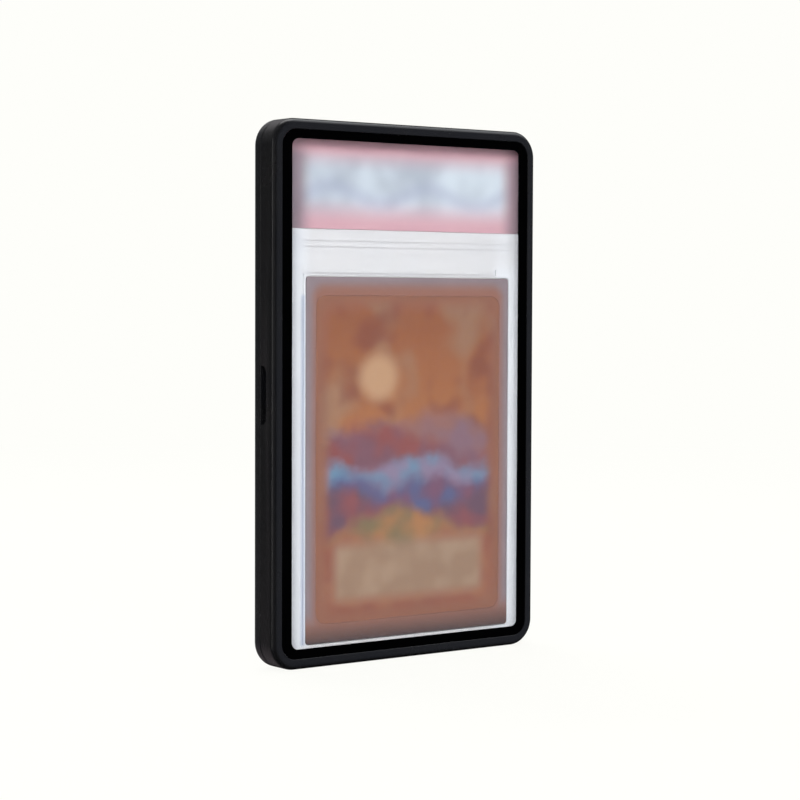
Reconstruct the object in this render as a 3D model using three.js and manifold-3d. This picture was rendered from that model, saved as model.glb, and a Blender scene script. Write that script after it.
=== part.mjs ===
// A magnetic holder for a slabbed trading card. Millimetres, +Z up, the front faces -Y.
// The origin lies under the middle of the bottom edge, which the holder stands on.
// Depths are measured from the frame's front face towards the back.

import * as THREE from 'three';
import { mergeVertices } from 'three/addons/utils/BufferGeometryUtils.js';
import Module from 'manifold-3d';

const wasm = await Module();
wasm.setup();

// Card and the gasket round it
const cardWidth = 63.5;
const cardHeight = 88.9;
const cardThickness = 0.32;
const cardCorner = 3.18;
const cardFit = 0.15;
const cardSetback = 0.05;
const matRimSide = 3.25;
const matRimEnd = 5.15;
const matCorner = 1;
const matShelf = 1.1;
const matFit = 0.15;
const matOffset = 2.3;
const matFoot = 1.75;

// Label and the insert's two fine lines
const labelThickness = 0.3;
const labelHeight = 24.8;
const labelCorner = 0.8;
const labelFit = 0.1;
const labelGap = 12.8;
const lineBelowLabel = 3.1;
const lineSpacing = 1.6;
const lineWidth = 0.35;
const lineDepth = 0.3;
const lineEndInset = 0.6;
const lineEndReach = 0.9;

// Groove in the insert, beside and above the mat
const grooveSideGap = 0.9;
const grooveTopGap = 0.65;
const grooveWidth = 0.35;
const grooveDepth = 0.3;
const grooveEndInset = 4.6;
const grooveTick = 1.4;

// Slab
const insertMargin = 5.9;
const insertFit = 0.1;
const insertEndGap = 0.1;
const slabDepth = 5.6;
const slabCorner = 2.4;
const slabHollowCorner = 1;
const slabFace = 1.3;
const slabWall = 0.8;
const slabRimWidth = 1.3;
const slabRimStep = 0.25;
const slabEdgeBevel = 0.4;

// Frame halves
const slabFit = 0.2;
const slabEndGap = 0.1;
const frameWall = 3;
const frameCorner = 7.3;
const edgeRound = 1.6;
const partingChamfer = 0.2;
const frontShellDepth = 6.2;
const bezel = 2.9;
const bezelCorner = 4.4;
const ledgeThickness = 0.55;
const ledgeSetback = 1.3;
const ledgeCorner = 1.5;

// Windows
const paneThickness = 1.2;
const paneFit = 0.1;
const paneRecess = 0.05;
const borderThickness = 0.15;
const borderSide = 3.1;
const borderTop = 2.45;
const borderBottom = 2.65;
const windowCorner = 2.1;
const glueThickness = 0.15;
const glueInset = 0.25;

// Magnets, pegs and the finger notch
const magnetLength = 10;
const magnetWidth = 2;
const magnetThickness = 1.5;
const magnetCorner = 0.4;
const magnetEdge = 0.15;
const magnetFit = 0.05;
const sideMagnetInset = 24;
const endMagnetInset = 23;
const pegDiameter = 1.4;
const pegHeight = 1.2;
const pegTip = 0.3;
const pegFit = 0.1;
const notchLength = 15.8;
const notchReach = 2.6;
const notchCut = 1.4;
const notchCorner = 2.2;
const notchFloorRound = 0.5;

// One overrun serves every cut that has to pass right through a face.
const overrun = 1;

// Facet counts
const cornerSteps = 4;
const roundSteps = 5;
const chamferSteps = 1;
const notchSteps = 8;
const pegSteps = 20;

// Derived sizes, outwards from the card
const matWidth = cardWidth + 2 * matRimSide;
const matHeight = cardHeight + 2 * matRimEnd;
const insertWidth = matWidth + 2 * insertMargin;
const insertHeight = matFoot + matFit + matHeight + labelGap + labelHeight + labelFit;
const slabWidth = insertWidth + 2 * (insertFit + slabWall);
const slabHeight = insertHeight + 2 * (insertFit + slabWall);
const frameWidth = slabWidth + 2 * (slabFit + frameWall);
const frameHeight = slabHeight + 2 * (slabFit + frameWall);
const windowStack = paneRecess + borderThickness + paneThickness + glueThickness;
const slabStart = windowStack + ledgeThickness + slabEndGap;
const slabEnd = slabStart + slabDepth;
const slabSeam = (slabStart + slabEnd) / 2;
const frameDepth = slabEnd + slabStart;

// A region is a rounded rectangle seen from the front.
function region(left, right, bottom, top, corner) {
  return { left, right, bottom, top, corner };
}

function inset(outer, amount) {
  const corner = Math.max(outer.corner - amount, 0);
  return region(outer.left + amount, outer.right - amount, outer.bottom + amount, outer.top - amount, corner);
}

function withCorner(outer, corner) {
  return { ...outer, corner };
}

function centred(middle, width, bottom, height, corner) {
  return region(middle - width / 2, middle + width / 2, bottom, bottom + height, corner);
}

// Regions, from the outside in
const frameOutline = region(-frameWidth / 2, frameWidth / 2, 0, frameHeight, frameCorner);
const paneRebate = withCorner(inset(frameOutline, bezel), bezelCorner);
const paneOutline = inset(paneRebate, paneFit);
const windowOpening = region(
  paneRebate.left + borderSide,
  paneRebate.right - borderSide,
  paneRebate.bottom + borderBottom,
  paneRebate.top - borderTop,
  windowCorner,
);
const ledgeOpening = withCorner(inset(windowOpening, -ledgeSetback), ledgeCorner);
const slabOutline = withCorner(inset(frameOutline, frameWall + slabFit), slabCorner);
const slabCavity = inset(slabOutline, -slabFit);
const slabHollow = withCorner(inset(slabOutline, slabWall), slabHollowCorner);
const insertOutline = inset(slabHollow, insertFit);
const matBottom = insertOutline.bottom + matFoot + matFit;
const matOutline = centred(matOffset, matWidth, matBottom, matHeight, matCorner);
const cardBottom = matOutline.bottom + matRimEnd;
const cardOutline = centred(matOffset, cardWidth, cardBottom, cardHeight, cardCorner);
const labelBottom = matOutline.top + labelGap;
const labelOutline = centred(0, insertWidth - 2 * labelFit, labelBottom, labelHeight, labelCorner);

function outlineShape(area) {
  const { left, right, bottom, top, corner } = area;
  const quarter = Math.PI / 2;
  const shape = new THREE.Shape();
  if (corner === 0) {
    shape.moveTo(left, bottom);
    shape.lineTo(right, bottom);
    shape.lineTo(right, top);
    shape.lineTo(left, top);
    shape.closePath();
    return shape;
  }
  shape.moveTo(left + corner, bottom);
  shape.absarc(right - corner, bottom + corner, corner, -quarter, 0);
  shape.absarc(right - corner, top - corner, corner, 0, quarter);
  shape.absarc(left + corner, top - corner, corner, quarter, 2 * quarter);
  shape.absarc(left + corner, bottom + corner, corner, 2 * quarter, 3 * quarter);
  shape.closePath();
  return shape;
}

// Turns a shape drawn in X and Y to stand in X and Z, and sets it between two depths.
function standUp(geometry, rearDepth) {
  geometry.rotateX(Math.PI / 2);
  geometry.translate(0, rearDepth - frameDepth / 2, 0);
  return geometry;
}

function solidOf(geometry) {
  geometry.deleteAttribute('normal');
  geometry.deleteAttribute('uv');
  const merged = mergeVertices(geometry);
  const mesh = new wasm.Mesh({
    numProp: 3,
    vertProperties: new Float32Array(merged.attributes.position.array),
    triVerts: new Uint32Array(merged.index.array),
  });
  return new wasm.Manifold(mesh);
}

// A flat plate over a region, from one depth to another
function plate(area, frontDepth, rearDepth) {
  const geometry = new THREE.ExtrudeGeometry(outlineShape(area), {
    depth: rearDepth - frontDepth,
    bevelEnabled: false,
    curveSegments: cornerSteps,
  });
  return solidOf(standUp(geometry, rearDepth));
}

// A plate whose two outer edges are rounded or chamfered all the way round
function edgedPlate(area, frontDepth, rearDepth, edge, edgeSteps) {
  const geometry = new THREE.ExtrudeGeometry(outlineShape(area), {
    depth: rearDepth - frontDepth - 2 * edge,
    bevelEnabled: true,
    bevelThickness: edge,
    bevelSize: edge,
    bevelOffset: -edge,
    bevelSegments: edgeSteps,
    curveSegments: cornerSteps,
  });
  return solidOf(standUp(geometry, rearDepth - edge));
}

function ring(outer, inner, frontDepth, rearDepth) {
  const hole = plate(inner, frontDepth - overrun, rearDepth + overrun);
  return plate(outer, frontDepth, rearDepth).subtract(hole);
}

// Adds a solid to the model as a named mesh.
const holder = new THREE.Group();
holder.name = 'magnetic_card_holder';

function addPiece(name, solid, material) {
  const mesh = solid.getMesh();
  const geometry = new THREE.BufferGeometry();
  geometry.setAttribute('position', new THREE.BufferAttribute(mesh.vertProperties, 3));
  geometry.setIndex(new THREE.BufferAttribute(mesh.triVerts, 1));
  geometry.computeVertexNormals();
  const piece = new THREE.Mesh(geometry, material);
  piece.name = name;
  holder.add(piece);
}

// Materials
const blackPlastic = new THREE.MeshStandardMaterial({ color: 0x1c1c1e, roughness: 0.42, metalness: 0 });
const blackPrint = new THREE.MeshStandardMaterial({ color: 0x030303, roughness: 0.12, metalness: 0 });
const acrylic = new THREE.MeshStandardMaterial({
  color: 0xf4f7f8, roughness: 0.05, metalness: 0, transparent: true, opacity: 0.18,
});
const glue = new THREE.MeshStandardMaterial({ color: 0x141414, roughness: 0.8, metalness: 0 });
const nickel = new THREE.MeshStandardMaterial({ color: 0xb9b9bb, roughness: 0.25, metalness: 1 });
const slabPlastic = new THREE.MeshStandardMaterial({
  color: 0xf2f3f6, roughness: 0.12, metalness: 0, transparent: true, opacity: 0.22,
});
const whitePlastic = new THREE.MeshStandardMaterial({ color: 0xe8e8ee, roughness: 0.5, metalness: 0 });
const matRubber = new THREE.MeshStandardMaterial({ color: 0x988a8c, roughness: 0.8, metalness: 0 });
const cardStock = new THREE.MeshStandardMaterial({ color: 0xa1664a, roughness: 0.45, metalness: 0 });
const labelPaper = new THREE.MeshStandardMaterial({ color: 0xd6d3dc, roughness: 0.6, metalness: 0 });

// Magnets: two in each side of the frame, so that the halves meet the same way round every time.
// Each seat gives the middle of a magnet and the direction that it lies in.
function magnetSeats() {
  const seats = [];
  const wallMiddle = frameWall / 2;
  for (const side of [-1, 1]) {
    const sideName = side < 0 ? 'left' : 'right';
    const across = side * (frameWidth / 2 - wallMiddle);
    seats.push({ name: `${sideName}_lower`, x: across, z: sideMagnetInset, upright: true });
    seats.push({ name: `${sideName}_upper`, x: across, z: frameHeight - sideMagnetInset, upright: true });
    const along = side * (frameWidth / 2 - endMagnetInset);
    seats.push({ name: `bottom_${sideName}`, x: along, z: wallMiddle, upright: false });
    seats.push({ name: `top_${sideName}`, x: along, z: frameHeight - wallMiddle, upright: false });
  }
  return seats;
}

function magnetRegion(seat) {
  const width = seat.upright ? magnetWidth : magnetLength;
  const height = seat.upright ? magnetLength : magnetWidth;
  return centred(seat.x, width, seat.z - height / 2, height, magnetCorner);
}

function magnet(area, frontDepth) {
  return edgedPlate(area, frontDepth, frontDepth + magnetThickness, magnetEdge, chamferSteps);
}

// Registration pegs stand in the corners, midway between the outer round and the cavity's round.
function pegPlaces() {
  const diagonal = Math.SQRT2;
  const outer = frameCorner * (diagonal - 1);
  const inner = (frameWall + slabCavity.corner) * diagonal - slabCavity.corner;
  const pegInset = (outer + inner) / 2 / diagonal;
  const places = [];
  for (const x of [frameOutline.left + pegInset, frameOutline.right - pegInset]) {
    for (const z of [frameOutline.bottom + pegInset, frameOutline.top - pegInset]) {
      places.push({ x, z });
    }
  }
  return places;
}

// A turned pin along the depth, with a bevelled tip at its front end
function peg(place, diameter, frontDepth, rearDepth) {
  const radius = diameter / 2;
  const length = rearDepth - frontDepth;
  const profile = [
    new THREE.Vector2(0, 0),
    new THREE.Vector2(radius - pegTip, 0),
    new THREE.Vector2(radius, pegTip),
    new THREE.Vector2(radius, length),
    new THREE.Vector2(0, length),
  ];
  const geometry = new THREE.LatheGeometry(profile, pegSteps);
  geometry.translate(place.x, frontDepth - frameDepth / 2, place.z);
  return solidOf(geometry);
}

// The part of the frame's outer body between two depths, rounded at front and back. A wide slope cuts
// the body at each depth, so that an end at the parting line gets a small chamfer.
function frameBody(frontDepth, rearDepth) {
  const whole = edgedPlate(frameOutline, 0, frameDepth, edgeRound, roundSteps);
  const slope = overrun + partingChamfer;
  const part = edgedPlate(inset(frameOutline, -overrun), frontDepth, rearDepth, slope, chamferSteps);
  return whole.intersect(part);
}

// Front half: window rebate, ledge, cavity, magnet pockets, peg holes and the finger notch
function frontShell() {
  let shell = frameBody(-2 * overrun, frontShellDepth);
  shell = shell.subtract(plate(paneRebate, -overrun, windowStack));
  shell = shell.subtract(plate(ledgeOpening, -overrun, frameDepth));
  shell = shell.subtract(plate(slabCavity, windowStack + ledgeThickness, frameDepth));
  const pocketDepth = magnetThickness + 2 * magnetFit;
  for (const seat of magnetSeats()) {
    const pocket = inset(magnetRegion(seat), -magnetFit);
    shell = shell.subtract(plate(pocket, frontShellDepth - pocketDepth, frameDepth));
  }
  for (const place of pegPlaces()) {
    const holeDepth = pegHeight + 2 * pegFit;
    shell = shell.subtract(peg(place, pegDiameter + 2 * pegFit, frontShellDepth - holeDepth, frameDepth));
  }
  return shell.subtract(fingerNotch());
}

// The notch is drawn with depth across and height upwards, and cut in from the frame's left side
// to a floor with a rounded edge.
function fingerNotch() {
  const front = frontShellDepth - notchReach - frameDepth / 2;
  const rear = front + 2 * notchReach;
  const bottom = (frameHeight - notchLength) / 2;
  const area = region(front, rear, bottom, bottom + notchLength, notchCorner);
  const geometry = new THREE.ExtrudeGeometry(outlineShape(area), {
    depth: notchCut + overrun - 2 * notchFloorRound,
    bevelEnabled: true,
    bevelThickness: notchFloorRound,
    bevelSize: notchFloorRound,
    bevelOffset: -notchFloorRound,
    bevelSegments: roundSteps,
    curveSegments: notchSteps,
  });
  const across = new THREE.Vector3(1, 0, 0);
  const back = new THREE.Vector3(0, 1, 0);
  const up = new THREE.Vector3(0, 0, 1);
  geometry.applyMatrix4(new THREE.Matrix4().makeBasis(back, up, across));
  geometry.translate(frameOutline.left - overrun + notchFloorRound, 0, 0);
  return solidOf(geometry);
}

// Rear half: the same window seat from the other side, magnet pockets and the pegs
function rearShell() {
  let shell = frameBody(frontShellDepth, frameDepth + 2 * overrun);
  shell = shell.subtract(plate(paneRebate, frameDepth - windowStack, frameDepth + overrun));
  shell = shell.subtract(plate(ledgeOpening, 0, frameDepth + overrun));
  shell = shell.subtract(plate(slabCavity, 0, frameDepth - windowStack - ledgeThickness));
  const pocketDepth = magnetThickness + 2 * magnetFit;
  for (const seat of magnetSeats()) {
    const pocket = inset(magnetRegion(seat), -magnetFit);
    shell = shell.subtract(plate(pocket, 0, frontShellDepth + pocketDepth));
  }
  for (const place of pegPlaces()) {
    shell = shell.add(peg(place, pegDiameter, frontShellDepth - pegHeight, frontShellDepth + pegHeight));
  }
  return shell;
}

addPiece('front_shell', frontShell(), blackPlastic);
addPiece('rear_shell', rearShell(), blackPlastic);

// Windows: a pane, the border printed on its outer face, and the glue on the ledge
const borderStart = paneRecess;
const paneStart = borderStart + borderThickness;
const paneEnd = paneStart + paneThickness;
const glueOutline = inset(paneOutline, glueInset);
const glueOpening = inset(ledgeOpening, -glueInset);

addPiece('front_border', ring(paneOutline, windowOpening, borderStart, paneStart), blackPrint);
addPiece('front_window', plate(paneOutline, paneStart, paneEnd), acrylic);
addPiece('front_adhesive', ring(glueOutline, glueOpening, paneEnd, windowStack), glue);

const rearPaneStart = frameDepth - paneEnd;
const rearPaneEnd = frameDepth - paneStart;
addPiece('rear_border', ring(paneOutline, windowOpening, rearPaneEnd, frameDepth - borderStart), blackPrint);
addPiece('rear_window', plate(paneOutline, rearPaneStart, rearPaneEnd), acrylic);
addPiece('rear_adhesive', ring(glueOutline, glueOpening, frameDepth - windowStack, rearPaneStart), glue);

for (const seat of magnetSeats()) {
  const area = magnetRegion(seat);
  const frontMagnetEnd = frontShellDepth - magnetFit;
  const rearMagnetStart = frontShellDepth + magnetFit;
  addPiece(`front_magnet_${seat.name}`, magnet(area, frontMagnetEnd - magnetThickness), nickel);
  addPiece(`rear_magnet_${seat.name}`, magnet(area, rearMagnetStart), nickel);
}

// Slab: two clear shells that meet at the seam, each with a raised rim and a hollow for the insert
function slabFrontShell() {
  const body = edgedPlate(slabOutline, slabStart, slabEnd, slabEdgeBevel, chamferSteps);
  const rearSide = plate(inset(slabOutline, -overrun), slabSeam, slabEnd + overrun);
  const facePanel = plate(inset(slabOutline, slabRimWidth), slabStart - overrun, slabStart + slabRimStep);
  const hollow = plate(slabHollow, slabStart + slabFace, slabEnd);
  return body.subtract(rearSide).subtract(facePanel).subtract(hollow);
}

function slabBackShell() {
  const body = edgedPlate(slabOutline, slabStart, slabEnd, slabEdgeBevel, chamferSteps);
  const frontSide = plate(inset(slabOutline, -overrun), slabStart - overrun, slabSeam);
  const facePanel = plate(inset(slabOutline, slabRimWidth), slabEnd - slabRimStep, slabEnd + overrun);
  const hollow = plate(slabHollow, slabStart, slabEnd - slabFace);
  return body.subtract(frontSide).subtract(facePanel).subtract(hollow);
}

addPiece('slab_front_shell', slabFrontShell(), slabPlastic);
addPiece('slab_back_shell', slabBackShell(), slabPlastic);

// Insert: a white tray with a seat for the label, two fine lines below it, a groove and a well for the mat
const insertStart = slabStart + slabFace + insertEndGap;
const insertEnd = slabEnd - slabFace - insertEndGap;
const labelStart = insertStart + cardSetback;
const labelSeat = labelStart + labelThickness + cardSetback;

// Two lines from the insert's left edge to a short upright one near its right edge
function fineLines(left) {
  const right = insertOutline.right - lineEndInset;
  const lines = [];
  for (const below of [lineBelowLabel, lineBelowLabel + lineSpacing]) {
    const top = labelOutline.bottom - below;
    lines.push(region(left, right, top - lineWidth, top, 0));
  }
  const endTop = lines[0].top + lineEndReach;
  const endBottom = lines[1].bottom - lineEndReach;
  lines.push(region(right - lineWidth, right, endBottom, endTop, 0));
  return lines;
}

// The groove runs up the mat's left side and along its top, and ends in a short tick.
function grooveLines() {
  const sideRight = matOutline.left - grooveSideGap;
  const sideLeft = sideRight - grooveWidth;
  const topBottom = matOutline.top + grooveTopGap;
  const topTop = topBottom + grooveWidth;
  const end = matOutline.right - grooveEndInset;
  return [
    region(sideLeft, sideRight, matOutline.bottom, topTop, 0),
    region(sideLeft, end, topBottom, topTop, 0),
    region(end - grooveWidth, end, topBottom, topTop + grooveTick, 0),
  ];
}

function insertTray() {
  let tray = plate(insertOutline, insertStart, insertEnd);
  const seat = region(
    insertOutline.left - overrun,
    insertOutline.right + overrun,
    labelOutline.bottom - labelFit,
    insertOutline.top + overrun,
    0,
  );
  tray = tray.subtract(plate(seat, insertStart - overrun, labelSeat));
  for (const line of fineLines(seat.left)) {
    tray = tray.subtract(plate(line, insertStart - overrun, insertStart + lineDepth));
  }
  for (const line of grooveLines()) {
    tray = tray.subtract(plate(line, insertStart - overrun, insertStart + grooveDepth));
  }
  const well = inset(matOutline, -matFit);
  return tray.subtract(plate(well, insertStart - overrun, insertEnd + overrun));
}

addPiece('slab_insert', insertTray(), whitePlastic);
addPiece('label', plate(labelOutline, labelStart, labelStart + labelThickness), labelPaper);

// Mat: a gasket whose front recess takes the card, with a shelf behind the card's edge
const matStart = insertStart + cardSetback;
const matEnd = insertEnd - cardSetback;
const cardStart = matStart + cardSetback;
const cardEnd = cardStart + cardThickness;
const cardRecess = inset(cardOutline, -cardFit);

function cardMat() {
  const recess = plate(cardRecess, matStart - overrun, cardEnd + cardSetback);
  const opening = plate(inset(cardRecess, matShelf), matStart - overrun, matEnd + overrun);
  return plate(matOutline, matStart, matEnd).subtract(recess).subtract(opening);
}

addPiece('card_mat', cardMat(), matRubber);
addPiece('card', plate(cardOutline, cardStart, cardEnd), cardStock);

export default holder;
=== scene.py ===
# A magnetic holder for a slabbed trading card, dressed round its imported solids.
# Metres, +Z up, the front faces -Y, and the holder stands on its bottom edge at z 0.
# The sections follow the holder as it is put together, from the frame to the card.

import math

import bmesh
import bpy
import numpy as np
from mathutils import Matrix, Vector


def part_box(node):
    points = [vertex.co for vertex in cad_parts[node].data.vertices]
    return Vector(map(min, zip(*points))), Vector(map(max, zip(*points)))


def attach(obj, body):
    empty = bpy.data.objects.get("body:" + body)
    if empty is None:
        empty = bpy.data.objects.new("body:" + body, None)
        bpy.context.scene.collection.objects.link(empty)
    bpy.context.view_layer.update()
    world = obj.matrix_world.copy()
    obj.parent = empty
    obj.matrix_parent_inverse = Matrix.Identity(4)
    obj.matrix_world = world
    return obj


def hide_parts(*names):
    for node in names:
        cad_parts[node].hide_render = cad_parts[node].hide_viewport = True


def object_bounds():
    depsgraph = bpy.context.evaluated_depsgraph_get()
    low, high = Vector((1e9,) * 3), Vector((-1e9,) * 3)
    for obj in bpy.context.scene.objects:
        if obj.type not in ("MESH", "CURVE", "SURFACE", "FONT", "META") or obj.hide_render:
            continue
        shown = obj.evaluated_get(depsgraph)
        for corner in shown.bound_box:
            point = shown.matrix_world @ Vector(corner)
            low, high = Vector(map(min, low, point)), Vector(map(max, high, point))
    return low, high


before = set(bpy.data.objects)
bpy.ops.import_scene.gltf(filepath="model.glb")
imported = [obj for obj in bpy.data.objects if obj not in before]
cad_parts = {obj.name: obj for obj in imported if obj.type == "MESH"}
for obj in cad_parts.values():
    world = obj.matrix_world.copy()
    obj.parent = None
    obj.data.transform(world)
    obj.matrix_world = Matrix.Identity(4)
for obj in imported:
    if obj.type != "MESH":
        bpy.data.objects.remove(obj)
cad_low, cad_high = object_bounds()
scene = bpy.context.scene
mm = 0.001


# Camera. A short telephoto lens, to the left of the front face and two thirds of the way up,
# that looks down by two and a half degrees. Its numbers come from the frame's edges in the picture.
camera_place = Vector((-0.36866, -0.49174, 0.09816))
camera_turn = math.radians(36.896)
camera_tilt = math.radians(-2.508)
camera_roll = math.radians(0.207)
focal_pixels = 2215.73
picture_pixels = 800

camera_data = bpy.data.cameras.new("camera")
camera_data.lens = focal_pixels / picture_pixels * camera_data.sensor_width
camera = bpy.data.objects.new("camera", camera_data)
scene.collection.objects.link(camera)
level = Matrix.Rotation(math.pi / 2 + camera_tilt, 4, "X") @ Matrix.Rotation(camera_roll, 4, "Z")
camera.matrix_world = Matrix.Translation(camera_place) @ Matrix.Rotation(-camera_turn, 4, "Z") @ level
scene.camera = camera
scene.view_settings.view_transform = "Standard"


# Studio. A plain pale floor and background that the camera sees as one even tone, soft lamps,
# and a dim surround, so that the black frame and the clear windows stay free of glare.
backdrop_colour = (0.991, 0.991, 0.956, 1)
ambient_strength = 0.62
gloss_strength = 0.02
# Soft panels that only a gloss shows. A row gives the way to the panel, the cosine at its edge,
# its colour and its strength.
gloss_panels = [
    ((0.6, -0.8, 0.0), 0.5, (0.9, 0.97, 1.22, 1), 0.25),
    ((-0.55, 0.83, 0.1), 0.5, (1.06, 1.0, 0.92, 1), 0.035),
    ((-0.87, -0.49, 0.05), 0.92, (1.06, 1.0, 1.0, 1), 0.22),
    ((-0.3, 0.4, 0.87), 0.5, (1.0, 0.98, 1.0, 1), 0.2),
    ((0.6, -0.12, 0.79), 0.84, (0.97, 1.0, 1.04, 1), 1.9),
    ((0.1, 0.99, 0.05), 0.88, (0.84, 0.98, 1.14, 1), 0.13),
    ((-0.2, 0.8, -0.56), 0.77, (1.1, 0.93, 1.02, 1), 0.2),
    ((0.2, 0.8, 0.56), 0.87, (1.0, 0.96, 1.0, 1), 0.4),
]
floor_reach = 12
floor_drop = 0.02 * mm
floor_colour = (0.82, 0.82, 0.8, 1)
floor_glow_share = 0.93
lit_floor_radius = 0.3
glow_floor_radius = 0.9
# Lamps. A row gives the name, the place and the size in metres, the watts, and whether a gloss shows it.
lamps = [
    ("front_left", (-1.13, -1.03, 0.8), (0.8, 0.6), 12.6, False),
    ("front_high", (-0.5, -1.35, 0.9), (1.1, 0.7), 10.2, False),
    ("overhead", (0.2, 0.2, 1.35), (1.1, 0.6), 6.0, True),
    ("left_strip", (-1.05, 0.0, 0.12), (0.06, 0.9), 0.9, True),
    ("rear_high", (0.2, 1.3, 1.5), (1.5, 0.7), 20.0, False),
]


def put(socket, value):
    """Links an output to a socket, or sets the socket to a plain value."""
    if isinstance(value, bpy.types.NodeSocket):
        socket.id_data.links.new(value, socket)
    else:
        socket.default_value = value


def add_node(tree, kind, inputs=None, **settings):
    """Adds a shader node with its settings, and sets or links its inputs, by name or by number."""
    made = tree.nodes.new("ShaderNode" + kind)
    for name, value in settings.items():
        setattr(made, name, value)
    for name, value in (inputs or {}).items():
        put(made.inputs[name], value)
    return made


def work_out(operation, *values):
    """One step of arithmetic between outputs and plain numbers, in the tree that the outputs belong to."""
    tree = next(value for value in values if isinstance(value, bpy.types.NodeSocket)).id_data
    return add_node(tree, "Math", dict(enumerate(values)), operation=operation).outputs[0]


def vector_step(operation, first, *others):
    """One step of arithmetic between vectors, the first of them an output."""
    inputs = dict(enumerate((first, *others)))
    return add_node(first.id_data, "VectorMath", inputs, operation=operation).outputs


def spread(value, low, high, new_low, new_high, kind="LINEAR"):
    """Carries a range of values over to another range, clamped."""
    inputs = {"Value": value, "From Min": low, "From Max": high, "To Min": new_low, "To Max": new_high}
    made = add_node(value.id_data, "MapRange", inputs, interpolation_type=kind, clamp=True)
    return made.outputs["Result"]


def ease(value, low, high, new_low, new_high):
    """Like spread, with a soft start and a soft end."""
    return spread(value, low, high, new_low, new_high, "SMOOTHSTEP")


def mix_shaders(share, first, second):
    """A shader that turns from the first into the second as the share goes from 0 to 1."""
    return add_node(share.id_data, "MixShader", {"Fac": share, 1: first.outputs[0], 2: second.outputs[0]})


def own_place(tree):
    """The piece's own coordinates, in metres."""
    return add_node(tree, "TexCoord").outputs["Object"]


def empty_material(name):
    """A new material and its node tree, with nothing in it yet."""
    material = bpy.data.materials.new(name)
    material.use_nodes = True
    material.node_tree.nodes.clear()
    return material, material.node_tree


def backdrop_rays(tree):
    """Two masks: rays that reach the backdrop straight or through glass, and rays that a gloss sent there.
    Rays that a matt surface sent count in neither, so that they keep to the surround's own light."""
    path = add_node(tree, "LightPath").outputs
    half = 0.5
    before_matt = work_out("LESS_THAN", path["Diffuse Depth"], half)
    in_gloss = work_out("GREATER_THAN", path["Glossy Depth"], half)
    seen = work_out("MAXIMUM", path["Is Camera Ray"], path["Is Transmission Ray"])
    straight = work_out("MULTIPLY", seen, work_out("SUBTRACT", 1, in_gloss))
    glossy = work_out("MAXIMUM", path["Is Glossy Ray"], in_gloss)
    glossy = work_out("MULTIPLY", glossy, work_out("SUBTRACT", 1, straight))
    return [work_out("MULTIPLY", rays, before_matt) for rays in (straight, glossy)]


world = bpy.data.worlds.new("surround")
scene.world = world
world.use_nodes = True
world_tree = world.node_tree
world_tree.nodes.clear()
straight_rays, gloss_rays = backdrop_rays(world_tree)
strength = work_out("MULTIPLY_ADD", gloss_rays, gloss_strength - ambient_strength, ambient_strength)
strength = work_out("MULTIPLY_ADD", straight_rays, 1 - ambient_strength, strength)
surround = add_node(world_tree, "Background", {"Color": backdrop_colour, "Strength": strength})
direction = add_node(world_tree, "TexCoord").outputs["Generated"]
for towards, edge_share, colour, panel_strength in gloss_panels:
    facing = vector_step("DOT_PRODUCT", direction, towards)["Value"]
    shine = work_out("MULTIPLY", ease(facing, edge_share, 1, 0, panel_strength), gloss_rays)
    glare = add_node(world_tree, "Background", {"Color": colour, "Strength": shine})
    surround = add_node(world_tree, "AddShader", {0: surround.outputs[0], 1: glare.outputs[0]})
add_node(world_tree, "OutputWorld", {"Surface": surround.outputs[0]})

floor_material, floor_tree = empty_material("pale_floor")
straight_rays, gloss_rays = backdrop_rays(floor_tree)
lit = add_node(floor_tree, "BsdfDiffuse", {"Color": floor_colour})
glow = add_node(floor_tree, "Emission", {"Color": backdrop_colour})
see_through = add_node(floor_tree, "BsdfTransparent")
floor_distance = vector_step("LENGTH", own_place(floor_tree))["Value"]
far_glow = spread(floor_distance, lit_floor_radius, glow_floor_radius, floor_glow_share, 1)
seen_floor = mix_shaders(work_out("MULTIPLY", straight_rays, far_glow), lit, glow)
any_floor = mix_shaders(gloss_rays, seen_floor, see_through)
add_node(floor_tree, "OutputMaterial", {"Surface": any_floor.outputs[0]})

floor_mesh = bpy.data.meshes.new("floor")
floor_sides = ((-1, -1), (1, -1), (1, 1), (-1, 1))
floor_corners = [(x * floor_reach, y * floor_reach, -floor_drop) for x, y in floor_sides]
floor_mesh.from_pydata(floor_corners, [], [(0, 1, 2, 3)])
floor_mesh.materials.append(floor_material)
floor = bpy.data.objects.new("floor", floor_mesh)
scene.collection.objects.link(floor)

holder_middle = (cad_low + cad_high) / 2
for name, place, size, watts, glossy in lamps:
    lamp_data = bpy.data.lights.new(name, "AREA")
    lamp_data.shape = "RECTANGLE"
    lamp_data.size, lamp_data.size_y = size
    lamp_data.energy = watts
    lamp = bpy.data.objects.new(name, lamp_data)
    scene.collection.objects.link(lamp)
    lamp.location = place
    lamp.visible_glossy = glossy
    lamp.rotation_euler = (holder_middle - lamp.location).to_track_quat("-Z", "Y").to_euler()


# Front half of the frame. One injection moulding in satin black plastic: a rounded outer edge, a seat
# for the window, a ledge in front of the slab's space, pockets for eight magnets, four peg holes
# and the finger notch at the parting line.
edge_round = 1.6 * mm
outer_corner = 7.3 * mm
parting_chamfer = 0.2 * mm
parting_round = 0.08 * mm
bezel_round = 0.18 * mm
inner_round = 0.12 * mm
frame_wall = 3 * mm
pane_fit = 0.1 * mm
seat_corner = 4.4 * mm
seat_depth = 1.55 * mm
ledge_depth = 2.1 * mm
border_side = 3.1 * mm
border_top = 2.45 * mm
border_bottom = 2.65 * mm
window_corner = 2.1 * mm
ledge_setback = 1.3 * mm
ledge_corner = 1.5 * mm
cavity_corner = 2.6 * mm
least_corner = 0.2 * mm
pocket_fit = 0.05 * mm
pocket_corner = 0.45 * mm
peg_radius = 0.7 * mm
peg_height = 1.2 * mm
peg_fit = 0.1 * mm
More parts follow.
